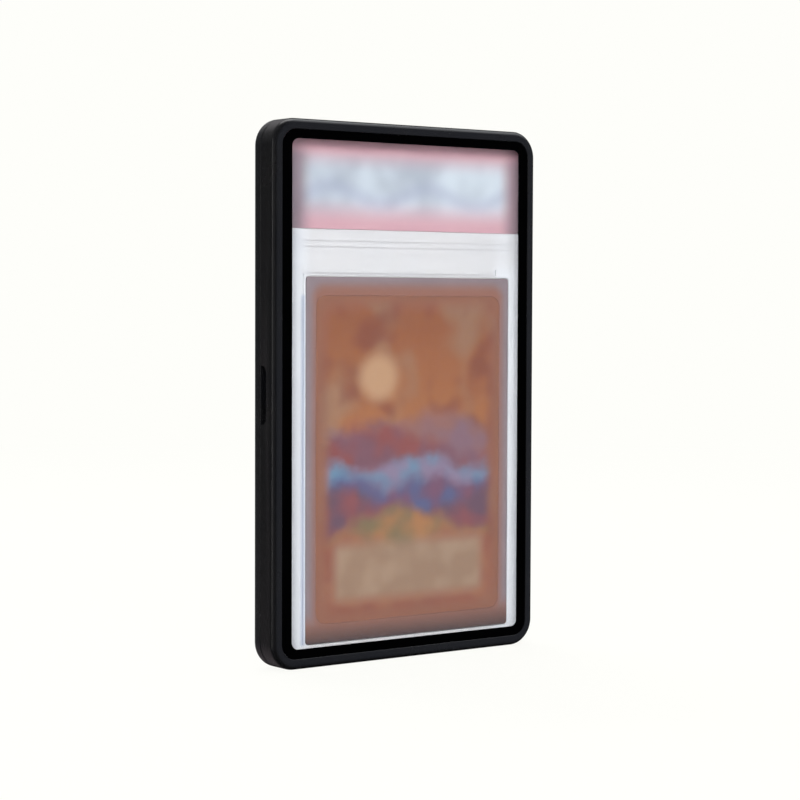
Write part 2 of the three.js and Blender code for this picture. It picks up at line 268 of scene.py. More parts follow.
peg_dome = 0.3 * mm
notch_length = 15.8 * mm
notch_reach = 2.6 * mm
notch_cut = 1.4 * mm
notch_corner = 2.2 * mm
notch_floor_round = 0.5 * mm
notch_lip = 0.25 * mm
overrun = 0.6 * mm
corner_steps = 22
round_steps = 7
small_steps = 4
notch_steps = 14
peg_steps = 40
sharp_angle = math.radians(38)

plastic_colour = (0.0032, 0.0034, 0.0044, 1)
plastic_worn_colour = (0.0042, 0.0042, 0.0048, 1)
# Painted sheen: the bluer black that the rear half is painted towards its edge.
plastic_rear_sheen_colour = (0.0075, 0.0094, 0.0115, 1)
plastic_finish = dict(roughness=0.24, variation=0.08, grain=0.16 * mm, cloud=9 * mm, depth=0.0014 * mm)
noise_shares = (0.3, 0.7)
middle_share = 0.5


def area_of(left, right, bottom, top, corner):
    """A rounded rectangle seen from the front."""
    return np.array([left, right, bottom, top, corner])


def inset(area, amount, corner=None):
    """The same outline, moved in by an amount all round. Where no corner radius is given, the old one shrinks
    with the outline, down to a least one."""
    moved = area + amount * np.array([1, -1, 1, -1, -1])
    moved[4] = max(moved[4], least_corner) if corner is None else corner
    return moved


def box_area(node_name, corner):
    """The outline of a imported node's box, with a corner radius."""
    low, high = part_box(node_name)
    return area_of(low.x, high.x, low.z, high.z, corner)


def at(area, y):
    """A station of a section: an outline at a place between front and back."""
    return np.append(area, y)


def soften(stations, rounds, steps, around=True):
    """Rounds the corners of a section given as stations. Between the corner and its two neighbours the point
    corner + r (1 - sin a) u + r (1 - cos a) v runs along a quarter circle while a goes from 0 to 90 degrees,
    where u and v are steps of unit length towards the neighbours. A station on each side of the arc,
    a quarter of r further out, keeps the flats beside it flat."""
    margin = 0.25
    corners = np.array(stations)
    sizes = np.array(rounds)[:, None, None]
    angle = np.linspace(0, math.pi / 2, steps + 1)
    back_share = np.concatenate([[1 + margin], 1 - np.sin(angle), [0]])
    ahead_share = np.concatenate([[0], 1 - np.cos(angle), [1 + margin]])

    def unit_steps(neighbours):
        change = neighbours - corners
        length = np.maximum(np.abs(change[:, 0]), np.abs(change[:, 5]))
        return (change / np.where(length == 0, 1, length)[:, None])[:, None, :]

    back = unit_steps(np.roll(corners, 1, axis=0))
    ahead = unit_steps(np.roll(corners, -1, axis=0))
    if not around:
        sizes[[0, -1]] = 0
    rounded = corners[:, None, :] + sizes * (back_share[:, None] * back + ahead_share[:, None] * ahead)
    if around:
        return rounded.reshape(-1, 6)
    return np.concatenate([rounded[:1, 0], rounded[1:-1].reshape(-1, 6), rounded[-1:, 0]])


def outlines(stations, steps):
    """Rounded rectangles, one for each station. A point is the centre of its corner plus the corner radius
    times (cos a, sin a), while a turns once; the straight sides lie between the four quarter circles."""
    quarter = math.pi / 2
    turn = np.linspace(0, quarter, steps + 1)
    angle = (turn + quarter * np.arange(4)[:, None]).ravel()
    to_right = np.repeat([True, False, False, True], steps + 1)
    to_top = np.repeat([True, True, False, False], steps + 1)
    left, right, bottom, top, corner, y = (column[:, None] for column in np.array(stations).T)
    x = np.where(to_right, right - corner, left + corner) + corner * np.cos(angle)
    z = np.where(to_top, top - corner, bottom + corner) + corner * np.sin(angle)
    return np.stack([x, np.broadcast_to(y, x.shape), z], axis=-1)


def skin(points, around):
    """Quads over a grid of points, rows of closed loops. The last row joins the first if around is true;
    otherwise a flat face closes each end."""
    rows, steps = points.shape[:2]
    index = np.arange(rows * steps).reshape(rows, steps)
    following = np.roll(index, -1, axis=0)
    caps = []
    if not around:
        caps = [index[0, ::-1], index[-1]]
        index, following = index[:-1], following[:-1]
    quads = np.stack([index, np.roll(index, -1, 1), np.roll(following, -1, 1), following], axis=-1)
    return points.reshape(-1, 3), quads.reshape(-1, 4), caps


def closed_mesh(name, *skins):
    """One mesh of one or more closed skins, with every face turned outwards."""
    points = np.concatenate([skin_points for skin_points, _, _ in skins])
    starts = np.cumsum([0] + [len(skin_points) for skin_points, _, _ in skins[:-1]])
    quads = np.concatenate([quads + start for (_, quads, _), start in zip(skins, starts)])
    caps = [(cap + start).tolist() for (_, _, ends), start in zip(skins, starts) for cap in ends]
    mesh = bpy.data.meshes.new(name)
    mesh.from_pydata(points, [], quads.tolist() + caps)
    made = bmesh.new()
    made.from_mesh(mesh)
    bmesh.ops.recalc_face_normals(made, faces=made.faces)
    made.to_mesh(mesh)
    made.free()
    return mesh


def swept(name, corners, rounds, around=True, steps=small_steps, loop_steps=corner_steps):
    """A closed mesh: a section, rounded at its corners, in which each station is a rounded rectangle."""
    section = soften(corners, rounds, steps, around)
    return closed_mesh(name, skin(outlines(section, loop_steps), around))


def block(area, front, rear, steps=3):
    """A straight-walled plate over an outline, as a skin."""
    return skin(outlines([at(area, front), at(area, rear)], steps), around=False)


def carved(mesh, tool, operation="DIFFERENCE"):
    """A closed mesh cut by, or joined with, another one."""
    work = [bpy.data.objects.new(m.name, m) for m in (mesh, tool)]
    for item in work:
        scene.collection.objects.link(item)
    change = work[0].modifiers.new("carve", "BOOLEAN")
    change.operation = operation
    change.solver = "EXACT"
    change.object = work[1]
    bpy.context.view_layer.update()
    seen = work[0].evaluated_get(bpy.context.evaluated_depsgraph_get())
    made = bpy.data.meshes.new_from_object(seen)
    for item in work:
        bpy.data.objects.remove(item)
    return made


def add_piece(name, mesh, materials, body, slot, *nodes):
    """Puts a finished mesh on a body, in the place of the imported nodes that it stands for."""
    mesh.materials.clear()
    for material in materials:
        mesh.materials.append(material)
    mesh.polygons.foreach_set("use_smooth", np.ones(len(mesh.polygons), bool))
    mesh.set_sharp_from_angle(angle=sharp_angle)
    piece = bpy.data.objects.new(name, mesh)
    scene.collection.objects.link(piece)
    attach(piece, body)
    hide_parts(*nodes)
    return piece


def start_material(name, **plain):
    """A material with one Principled shader, whose plain sockets are set here."""
    material, tree = empty_material(name)
    values = {socket.replace("_", " "): value for socket, value in plain.items()}
    surface = add_node(tree, "BsdfPrincipled", values)
    add_node(tree, "OutputMaterial", {"Surface": surface.outputs[0]})
    return material, tree, surface


def along_axes(place):
    """The three coordinates of a place."""
    return add_node(place.id_data, "SeparateXYZ", {"Vector": place}).outputs


def blend_colours(share, first, second):
    """Mixes two colours, from the first at a share of 0 to the second at 1."""
    return add_node(share.id_data, "Mix", {0: share, 6: first, 7: second}, data_type="RGBA").outputs[2]


# The moulded finish is a shader group: fine grain from the tool's steel, and broad faint clouds
# where the gloss and the tone vary over the moulding.
finish_group = bpy.data.node_groups.new("moulded_finish", "ShaderNodeTree")
finish_sockets = {
    "INPUT": {
        "Colour": "Color",
        "Second Colour": "Color",
        "Roughness": "Float",
        "Variation": "Float",
        "Grain Scale": "Float",
        "Cloud Scale": "Float",
        "Grain Depth": "Float",
    },
    "OUTPUT": {"Colour": "Color", "Roughness": "Float", "Normal": "Vector"},
}
for side, sockets in finish_sockets.items():
    for socket_name, kind in sockets.items():
        finish_group.interface.new_socket(name=socket_name, in_out=side, socket_type="NodeSocket" + kind)
given = finish_group.nodes.new("NodeGroupInput").outputs
cloud_inputs = {"Vector": own_place(finish_group), "Scale": given["Cloud Scale"]}
grain_inputs = {"Vector": own_place(finish_group), "Scale": given["Grain Scale"], "Detail": 3}
cloud_noise = add_node(finish_group, "TexNoise", cloud_inputs).outputs["Fac"]
grain_noise = add_node(finish_group, "TexNoise", grain_inputs).outputs["Fac"]
cloud = spread(cloud_noise, *noise_shares, 0, 1)
swing = work_out("MULTIPLY", work_out("SUBTRACT", cloud, middle_share), given["Variation"])
grain_bump = add_node(finish_group, "Bump", {"Height": grain_noise, "Distance": given["Grain Depth"]})
result = finish_group.nodes.new("NodeGroupOutput").inputs
put(result["Colour"], blend_colours(cloud, given["Colour"], given["Second Colour"]))
put(result["Roughness"], work_out("ADD", given["Roughness"], swing))
put(result["Normal"], grain_bump.outputs["Normal"])


def moulded(tree, surface, colour, second, roughness, variation, grain, cloud, depth):
    """Feeds the moulded finish into a material's shader. The values follow the group's own order."""
    values = (colour, second, roughness, variation, 1 / grain, 1 / cloud, depth)
    made = add_node(tree, "Group", dict(enumerate(values)), node_tree=finish_group)
    for socket_name, output in zip(("Base Color", "Roughness", "Normal"), made.outputs):
        put(surface.inputs[socket_name], output)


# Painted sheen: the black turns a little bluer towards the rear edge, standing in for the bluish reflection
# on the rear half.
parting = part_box("front_shell")[1].y
black_plastic, plastic_tree, plastic_surface = start_material("black_plastic", IOR=1.49)
_, plastic_back, _ = along_axes(own_place(plastic_tree))
rear_sheen_share = spread(plastic_back, parting, cad_high.y, 0, 1)
plastic_front_tones = (plastic_colour, plastic_worn_colour)
plastic_tones = [blend_colours(rear_sheen_share, tone, plastic_rear_sheen_colour) for tone in plastic_front_tones]
moulded(plastic_tree, plastic_surface, *plastic_tones, **plastic_finish)

outline = area_of(cad_low.x, cad_high.x, cad_low.z, cad_high.z, outer_corner)
pane_corner = seat_corner - pane_fit
seat = inset(box_area("front_window", pane_corner), -pane_fit)
window = seat + np.array([border_side, -border_side, border_bottom, -border_top, 0])
window[4] = window_corner
ledge = inset(window, -ledge_setback, ledge_corner)
cavity = inset(outline, frame_wall, cavity_corner)


def frame_half(name, outer_face, inwards):
    """A frame half, with a section from its outer wall over the bezel and the ledge to the parting line."""
    corners = [
        at(inset(outline, parting_chamfer), parting),
        at(outline, parting - inwards * parting_chamfer),
        at(outline, outer_face),
        at(seat, outer_face),
        at(seat, outer_face + inwards * seat_depth),
        at(ledge, outer_face + inwards * seat_depth),
        at(ledge, outer_face + inwards * ledge_depth),
        at(cavity, outer_face + inwards * ledge_depth),
        at(cavity, parting),
    ]
    rounds = [parting_round, parting_round, edge_round, bezel_round] + [inner_round] * 4 + [parting_round]
    return swept(name, corners, rounds, steps=round_steps)


def magnet_names(half):
    """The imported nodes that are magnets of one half."""
    return sorted(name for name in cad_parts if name.startswith(half + "_magnet_"))


def magnet_pockets(half, inwards):
    """Straight pockets that open at the parting line, one for each magnet of a half."""
    skins = []
    for name in magnet_names(half):
        low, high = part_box(name)
        mouth = inset(box_area(name, pocket_corner - pocket_fit), -pocket_fit)
        floor_y = (low.y if inwards < 0 else high.y) + inwards * pocket_fit
        skins.append(block(mouth, floor_y, parting - inwards * overrun, steps=6))
    return skins


# Pegs and their holes stand midway between the outer round and the round of the slab's space.
peg_inset = (
    outer_corner * (math.sqrt(2) - 1) + (frame_wall + cavity_corner) * math.sqrt(2) - cavity_corner
) / 2 / math.sqrt(2)
peg_places = [
    (x, z)
    for x in (cad_low.x + peg_inset, cad_high.x - peg_inset)
    for z in (cad_low.z + peg_inset, cad_high.z - peg_inset)
]


def pegs(radius, section):
    """Turned pins along Y. Each row of the section is (y, share of the radius), and its points lie at the
    pin's middle plus that share of the radius times (cos a, sin a), while a turns once."""
    angle = np.linspace(0, 2 * math.pi, peg_steps, endpoint=False)
    y, share = (column[:, None] for column in np.array(section).T)
    reach = radius * share
    depth = np.broadcast_to(y, (len(section), peg_steps))
    return [
        skin(np.stack([x + reach * np.cos(angle), depth, z + reach * np.sin(angle)], axis=-1), around=False)
        for x, z in peg_places
    ]


def notch_tool():
    """The finger notch: a rounded rectangle with depth across and height upwards, whose rear half lies past
    the parting line. Its rows run outwards from the floor, where the outline grows along a small quarter
    circle, to the lip, where it grows along another."""
    middle_z = (cad_low.z + cad_high.z) / 2
    mouth = area_of(
        parting - notch_reach,
        parting + notch_reach,
        middle_z - notch_length / 2,
        middle_z + notch_length / 2,
        notch_corner,
    )
    turn = np.linspace(0, math.pi / 2, small_steps + 1)
    floor_x = cad_low.x + notch_cut - notch_floor_round * (1 - np.cos(turn))
    floor_grow = -notch_floor_round * (1 - np.sin(turn))
    lip_x = cad_low.x + notch_lip * (1 - np.sin(turn))
    lip_grow = notch_lip * (1 - np.cos(turn))
    x = np.concatenate([floor_x, lip_x, [cad_low.x - overrun]])
    grow = np.concatenate([floor_grow, lip_grow, [notch_lip + overrun]])[:, None]
    areas = mouth + grow * np.array([-1, 1, -1, 1, 1])
    loops = outlines(np.column_stack([areas, x]), notch_steps)
    return skin(loops[..., [1, 0, 2]], around=False)


hole_section = [(parting - peg_height - 2 * peg_fit, 1), (parting + overrun, 1)]
front_cuts = magnet_pockets("front", -1) + pegs(peg_radius + peg_fit, hole_section) + [notch_tool()]
front_body = carved(frame_half("front_shell", cad_low.y, 1), closed_mesh("front_cuts", *front_cuts))
add_piece("front_frame_half", front_body, [black_plastic], "front_frame", "black_plastic", "front_shell")


# Rear half of the frame. The same moulding seen from the other side, a little shallower, with the
# magnet pockets facing the front half's and four short pegs that drop into its holes.
# Each peg ends in a low dome, with one station on the way up it.
dome_rise_share = 0.25
dome_set_share = 1 / 3
dome_share = peg_dome / peg_radius
peg_section = [
    (parting - peg_height, 1 - dome_share),
    (parting - peg_height + dome_rise_share * peg_dome, 1 - dome_set_share * dome_share),
    (parting - peg_height + peg_dome, 1),
    (parting + peg_height / 2, 1),
]
rear_body = frame_half("rear_shell", cad_high.y, -1)
rear_body = carved(rear_body, closed_mesh("rear_pegs", *pegs(peg_radius, peg_section)), "UNION")
rear_body = carved(rear_body, closed_mesh("rear_cuts", *magnet_pockets("rear", 1)))
add_piece("rear_frame_half", rear_body, [black_plastic], "rear_cover", "black_plastic", "rear_shell")


# Magnets. Sixteen small bar magnets, pressed and glued into the pockets so that the halves snap together.
# They are sintered, plated with nickel, and have ground edges.
magnet_corner = 0.4 * mm
magnet_edge = 0.14 * mm
nickel_colour = (0.62, 0.6, 0.57, 1)
nickel_second_colour = (0.5, 0.485, 0.46, 1)
nickel_finish = dict(roughness=0.24, variation=0.12, grain=0.35 * mm, cloud=3 * mm, depth=0.002 * mm)


def moulded_material(name, colour, second, finish, **plain):
    """A material with the moulded finish in two plain colours."""
    material, tree, surface = start_material(name, **plain)
    moulded(tree, surface, colour, second, **finish)
    return material


nickel = moulded_material("nickel_plating", nickel_colour, nickel_second_colour, nickel_finish, Metallic=1.0)


def rounded_plate(name, area, front, rear, edge, steps):
    """A plate with rounded edges: its section runs along the back, over the edge and along the front."""
    middle = inset(area, 2 * edge)
    corners = [at(middle, rear), at(area, rear), at(area, front), at(middle, front)]
    return swept(name, corners, [0, edge, edge, 0], around=False, loop_steps=steps)


halves = (("front", "front_frame"), ("rear", "rear_cover"))
for half, body in halves:
    for name in magnet_names(half):
        low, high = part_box(name)
        bar = rounded_plate(name, box_area(name, magnet_corner), low.y, high.y, magnet_edge, small_steps)
        add_piece(name + "_bar", bar, [nickel], body, "nickel", name)


# Windows. A sheet of clear acrylic in each half, with a black border printed round its outer face,
# bonded to the ledge by a thin ring of black adhesive.
pane_edge = 0.12 * mm
border_edge = 0.04 * mm
print_colour = (0.0001, 0.0001, 0.00015, 1)
print_second_colour = (0.0003, 0.0003, 0.0004, 1)
print_finish = dict(roughness=0.22, variation=0.06, grain=0.3 * mm, cloud=14 * mm, depth=0.0006 * mm)
glue_colour = (0.006, 0.006, 0.006, 1)
glue_second_colour = (0.012, 0.012, 0.012, 1)
glue_finish = dict(roughness=0.7, variation=0.15, grain=0.6 * mm, cloud=5 * mm, depth=0.02 * mm)
acrylic_tint = (0.985, 0.992, 0.99, 1)
acrylic_ior = 1.49
acrylic_roughness = (0.0, 0.03)
polish_size = 18 * mm
polish_shares = (0.4, 0.7)

black_print = moulded_material(
    "black_print", print_colour, print_second_colour, print_finish, Specular_IOR_Level=0.01
)
glue = moulded_material("black_adhesive", glue_colour, glue_second_colour, glue_finish)


def noise(tree, size, detail=2.0, roughness=0.5):
    """Even noise of a given size on the piece's own coordinates, from 0 to 1."""
    inputs = {"Vector": own_place(tree), "Scale": 1 / size, "Detail": detail, "Roughness": roughness}
    return add_node(tree, "TexNoise", inputs).outputs["Fac"]


def clear_material(name, tint, ior, roughness):
    """Clear plastic with polishing haze that comes and goes over the sheet. Light from the lamps passes
    straight through it, so that it lights what lies behind."""
    material, tree, surface = start_material(name, Base_Color=tint, IOR=ior, Transmission_Weight=1.0)
    put(surface.inputs["Roughness"], spread(noise(tree, polish_size), *polish_shares, *roughness))
    passing = add_node(tree, "BsdfTransparent", {"Color": tint})
    choice = mix_shaders(add_node(tree, "LightPath").outputs["Is Shadow Ray"], surface, passing)
    out = next(node for node in tree.nodes if node.type == "OUTPUT_MATERIAL")
    put(out.inputs["Surface"], choice.outputs[0])
    return material


acrylic = clear_material("clear_acrylic", acrylic_tint, acrylic_ior, acrylic_roughness)
for half, body in halves:
    pane_low, pane_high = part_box(half + "_window")
    pane_area = box_area(half + "_window", pane_corner)
    pane = rounded_plate(half + "_pane", pane_area, pane_low.y, pane_high.y, pane_edge, corner_steps)
    add_piece(half + "_pane", pane, [acrylic], body, "acrylic", half + "_window")
    border_low, border_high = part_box(half + "_border")
    border_corners = [
        at(pane_area, border_low.y),
        at(window, border_low.y),
        at(window, border_high.y),
        at(pane_area, border_high.y),
    ]
    border = swept(half + "_print", border_corners, [border_edge] * 4)
    add_piece(half + "_print", border, [black_print], body, "black_print", half + "_border")
    glue_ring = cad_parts[half + "_adhesive"]
    glue_ring.data.materials.clear()
    glue_ring.data.materials.append(glue)


# Slab. Two clear polystyrene shells, welded together at the seam, with a raised rim that lets slabs stack
# and a hollow for the insert.
slab_corner = 2.4 * mm
slab_hollow_corner = 1 * mm
slab_edge = 0.4 * mm
slab_rim = 1.3 * mm
slab_rim_step = 0.25 * mm
slab_rim_round = 0.12 * mm
slab_wall = 0.8 * mm
slab_cap_inset = 3 * mm
slab_face = 1.3 * mm
seam_gap = 0.01 * mm
seam_round = 0.06 * mm
slab_tint = (0.99, 0.993, 0.995, 1)
slab_ior = 1.58
slab_roughness = (0.0, 0.04)

slab_plastic = clear_material("clear_slab_plastic", slab_tint, slab_ior, slab_roughness)
slab_area = box_area("slab_front_shell", slab_corner)
slab_hollow = inset(slab_area, slab_wall, slab_hollow_corner)
slab_panel = inset(slab_area, slab_rim)
slab_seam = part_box("slab_front_shell")[1].y


def slab_shell(name, outer_face, inwards):
    """A shallow closed tray: over the panel, up on the rim, round the edge to the seam and back inside."""
    seam = slab_seam - inwards * seam_gap
    corners = [
        at(inset(slab_panel, slab_cap_inset), outer_face + inwards * slab_rim_step),
        at(slab_panel, outer_face + inwards * slab_rim_step),
        at(slab_panel, outer_face),
        at(slab_area, outer_face),
        at(slab_area, seam),
        at(slab_hollow, seam),
        at(slab_hollow, outer_face + inwards * slab_face),
        at(inset(slab_hollow, slab_cap_inset), outer_face + inwards * slab_face),
    ]
    rounds = [0, slab_rim_round, slab_rim_round, slab_edge, seam_round, seam_round, slab_rim_round, 0]
    return swept(name, corners, rounds, around=False)


front_tray = slab_shell("slab_front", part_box("slab_front_shell")[0].y, 1)
add_piece("slab_front", front_tray, [slab_plastic], "slab", "slab_plastic", "slab_front_shell")
back_tray = slab_shell("slab_back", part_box("slab_back_shell")[1].y, -1)
add_piece("slab_back", back_tray, [slab_plastic], "slab", "slab_plastic", "slab_back_shell")


# Insert. The white tray inside the slab, moulded with a seat for the label, two fine lines below it
# and a well for the gasket that holds the card.
insert_corner = 0.9 * mm
insert_edge = 0.15 * mm
well_fit = 0.15 * mm
well_edge = 0.12 * mm
mat_corner = 1 * mm
seat_below_label = 0.1 * mm
seat_depth_behind_face = 0.4 * mm
line_below_label = 3.1 * mm
line_spacing = 1.6 * mm
line_width = 0.35 * mm
line_depth = 0.22 * mm
line_end_inset = 0.6 * mm
line_end_reach = 0.9 * mm
groove_side_gap = 0.9 * mm
groove_depth = 0.3 * mm
groove_top_gap = 0.65 * mm
groove_end_inset = 4.6 * mm
groove_tick = 1.4 * mm
white_colour = (0.79, 0.77, 0.79, 1)
white_second_colour = (0.765, 0.755, 0.785, 1)
# Painted light: the paler, cooler white painted along both sides of the insert.
rim_light_white = (0.9, 0.91, 0.965, 1)
rim_white_reach = 5.5 * mm
rim_fade_height = 6 * mm
rim_fade_share = 0.4
# Painted shade: the bluish grey painted in the band beside the well.
channel_shade_white = (0.62, 0.66, 0.78, 1)
channel_near = 0.45 * mm
channel_far = 1.75 * mm
channel_end = 5 * mm
channel_softness = 0.5 * mm
white_finish = dict(roughness=0.46, variation=0.06, grain=0.25 * mm, cloud=22 * mm, depth=0.002 * mm)


def outline_mask(tree, area, softness):
    """1 inside a rounded rectangle and 0 outside. With q the distance from its middle, less its half size
    and plus the corner, the distance to the outline is the length of max(q, 0), less the corner."""
    left, right, bottom, top, corner = (float(value) for value in area)
    centred = vector_step("SUBTRACT", own_place(tree), ((left + right) / 2, 0, (bottom + top) / 2))[0]
    folded = vector_step("ABSOLUTE", vector_step("MULTIPLY", centred, (1, 0, 1))[0])[0]
    half_size = ((right - left) / 2 - corner, 0, (top - bottom) / 2 - corner)
    outside = vector_step("MAXIMUM", vector_step("SUBTRACT", folded, half_size)[0], (0, 0, 0))[0]
    distance = vector_step("LENGTH", outside)["Value"]
    return ease(distance, corner - softness, corner + softness, 1, 0)


# Painted light: the white is painted cooler and paler along both sides, for light that the slab's clear rim
# gathers and against the frame's shade there.
# Painted shade: a soft bluish shade is painted in a band along the left side of the gasket's well, over the
# groove there.
white_plastic, white_tree, white_surface = start_material("white_plastic")
white_across, _, white_up = along_axes(own_place(white_tree))
white_off = work_out("ABSOLUTE", white_across)
white_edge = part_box("slab_insert")[1].x
painted_rim_light = ease(white_off, white_edge - 2 * rim_white_reach, white_edge - rim_white_reach, 0, 1)
well_low, well_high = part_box("card_mat")
less_above = ease(white_up, well_high.z, well_high.z + rim_fade_height, 1, rim_fade_share)
on_left = spread(white_across, 0, white_edge / 2, 1, 0)
painted_rim_light = work_out("MULTIPLY", painted_rim_light, work_out("MAXIMUM", less_above, on_left))
channel_left = well_low.x - channel_far
channel_right = well_low.x - channel_near
channel_top = well_high.z - channel_end
channel_area = area_of(channel_left, channel_right, well_low.z, channel_top, channel_softness)
painted_channel_shade = outline_mask(white_tree, channel_area, channel_softness)


def white_tone(middle):
    """Plain in the middle, with painted light near the rim and painted shade in the channel."""
    return blend_colours(painted_channel_shade, blend_colours(painted_rim_light, middle, rim_light_white), channel_shade_white)


white_tones = [white_tone(tone) for tone in (white_colour, white_second_colour)]
moulded(white_tree, white_surface, *white_tones, **white_finish)

insert_low, insert_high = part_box("slab_insert")
insert_area = box_area("slab_insert", insert_corner)
mat_area = box_area("card_mat", mat_corner)
well = inset(mat_area, -well_fit)
label_low, label_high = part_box("label")
tray_corners = [
    at(insert_area, insert_high.y),
    at(insert_area, insert_low.y),
    at(well, insert_low.y),
    at(well, insert_high.y),
]
tray = swept("insert", tray_corners, [insert_edge, insert_edge, well_edge, well_edge])
seat_left = insert_low.x - overrun
seat_right = insert_high.x + overrun
seat_bottom = label_low.z - seat_below_label
label_seat = area_of(seat_left, seat_right, seat_bottom, insert_high.z + overrun, 0)
line_right = insert_high.x - line_end_inset
line_tops = [label_low.z - line_below_label, label_low.z - line_below_label - line_spacing]
groove_left = mat_area[0] - groove_side_gap - line_width
groove_right = mat_area[1] - groove_end_inset
groove_bottom = mat_area[3] + groove_top_gap
groove_top = groove_bottom + line_width
lines = [area_of(insert_low.x - overrun, line_right, top - line_width, top, 0) for top in line_tops]
line_low = lines[1][2] - line_end_reach
lines.append(area_of(line_right - line_width, line_right, line_low, line_tops[0] + line_end_reach, 0))
grooves = [
    area_of(groove_left, groove_left + line_width, mat_area[2], groove_top, 0),
    area_of(groove_left, groove_right, groove_bottom, groove_top, 0),
    area_of(groove_right - line_width, groove_right, groove_bottom, groove_top + groove_tick, 0),
]
seat_floor = insert_low.y + seat_depth_behind_face
tray = carved(tray, closed_mesh("seat", block(label_seat, insert_low.y - overrun, seat_floor)))
for score, depth in [(line, line_depth) for line in lines] + [(groove, groove_depth) for groove in grooves]:
    tray = carved(tray, closed_mesh("score", block(score, insert_low.y - overrun, insert_low.y + depth)))
add_piece("insert_tray", tray, [white_plastic], "slab", "white_plastic", "slab_insert")


# Gasket. A mat of grey rubber, pressed into the insert's well, with a recess that grips the card
# and a shelf behind the card's edge.
card_corner = 3.18 * mm
card_fit = 0.05 * mm
mat_shelf = 1.1 * mm
mat_edge = 0.12 * mm
recess_edge = 0.06 * mm
shelf_edge = 0.03 * mm
mat_grey = (0.285, 0.214, 0.23, 1)
mat_grey_second = (0.262, 0.2, 0.215, 1)
mat_warm = (0.31, 0.125, 0.078, 1)
# Painted shade: the dark tone painted at the gasket's foot.
mat_foot_shade = (0.062, 0.03, 0.02, 1)
mat_foot_height = 6 * mm
mat_foot_warm_full = 2.5 * mm
mat_foot_warm_end = 10 * mm
mat_warm_inset = 2.2 * mm
mat_warm_softness = 1.9 * mm
mat_finish = dict(roughness=0.75, variation=0.08, grain=0.4 * mm, cloud=12 * mm, depth=0.012 * mm)

# The rubber is warmer towards the card, which it meets in the card's own tone, and has painted shade at its
# foot, where it turns darker.
mat_low, mat_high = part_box("card_mat")
mat_rubber, mat_tree, mat_surface = start_material("mat_rubber")
warm_area = inset(mat_area, mat_warm_inset, 2 * mat_warm_softness)
warm_share = outline_mask(mat_tree, warm_area, mat_warm_softness)
_, mat_back, mat_up = along_axes(own_place(mat_tree))
on_front = spread(mat_back, mat_low.y, mat_high.y, 1, 0)
foot_warm = ease(mat_up, mat_low.z + mat_foot_warm_full, mat_low.z + mat_foot_warm_end, 1, 0)
warm_share = work_out("MULTIPLY", work_out("MAXIMUM", warm_share, foot_warm), on_front)
painted_foot_shade = spread(mat_up, mat_low.z, mat_low.z + mat_foot_height, 1, 0)
painted_foot_shade = work_out("MULTIPLY", painted_foot_shade, on_front)


def mat_tone(grey):
    """Grey at the outer edge, warm towards the card, with painted shade at the foot."""
    return blend_colours(painted_foot_shade, blend_colours(warm_share, grey, mat_warm), mat_foot_shade)


mat_tones = [mat_tone(grey) for grey in (mat_grey, mat_grey_second)]
moulded(mat_tree, mat_surface, *mat_tones, **mat_finish)
card_low, card_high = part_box("card")
card_area = box_area("card", card_corner)
recess = inset(card_area, -card_fit)
shelf = inset(recess, mat_shelf)
shelf_front = card_high.y + (mat_low.y - insert_low.y)
mat_corners = [
    at(mat_area, mat_high.y),
    at(mat_area, mat_low.y),
    at(recess, mat_low.y),
    at(recess, shelf_front),
    at(shelf, shelf_front),
    at(shelf, mat_high.y),
]
mat_rounds = [mat_edge, mat_edge, recess_edge, shelf_edge, recess_edge, mat_edge]
gasket = swept("gasket", mat_corners, mat_rounds)
add_piece("gasket", gasket, [mat_rubber], "slab", "mat_rubber", "card_mat")


# Card. Coated card stock with a plain printed landscape of its own: a pale sun over ridges and water,
# inside a russet border, above a bare cream panel. The back has a quiet lattice.
card_edge = 0.06 * mm
border_width = 3.6 * mm
edge_brown_width = 2.4 * mm
panel_height = 15 * mm
panel_inset = 6.5 * mm
panel_lift = 6 * mm
panel_corner = 2 * mm
print_softness = 2.8 * mm
border_softness = 2.8 * mm
lattice_softness = 0.7 * mm
haze_size = 17 * mm
ember_size = 12 * mm
haze_share = 0.6
ember_share = 0.6
paint_size = 11 * mm
stroke_size = 9 * mm
wander_share = 0.12
stipple_size = 0.22 * mm
sun_place_share = (-0.17, 0.25)
sun_radius = 6.5 * mm
card_roughness = (0.34, 0.42)
turn_shares = (0.35, 0.65)
sky_shares = (0.05, 0.4)
haze_patch_shares = (0.47, 0.66)
ember_patch_shares = (0.5, 0.7)
sun_wander_share = 0.2
stipple_shares = (0.93, 1.04)


def screen(red, green, blue):
    """A colour given as it shows on a screen, from 0 to 255, in the linear values that a shader takes, by the
    standard curve: a straight start, and then a power of 2.4."""
    shown = np.array([red, green, blue]) / 255
    linear = np.where(shown <= 0.04045, shown / 12.92, ((shown + 0.055) / 1.055) ** 2.4)
    return (*linear.tolist(), 1)


sky_top = screen(150, 83, 30)
sky_low = screen(176, 109, 52)
sun_colour = screen(196, 152, 112)
haze_tone = screen(158, 124, 96)
ember_tone = screen(122, 50, 24)
edge_brown = screen(148, 92, 62)
russet = screen(150, 84, 50)
cream = screen(172, 142, 114)
cream_second = screen(158, 126, 98)
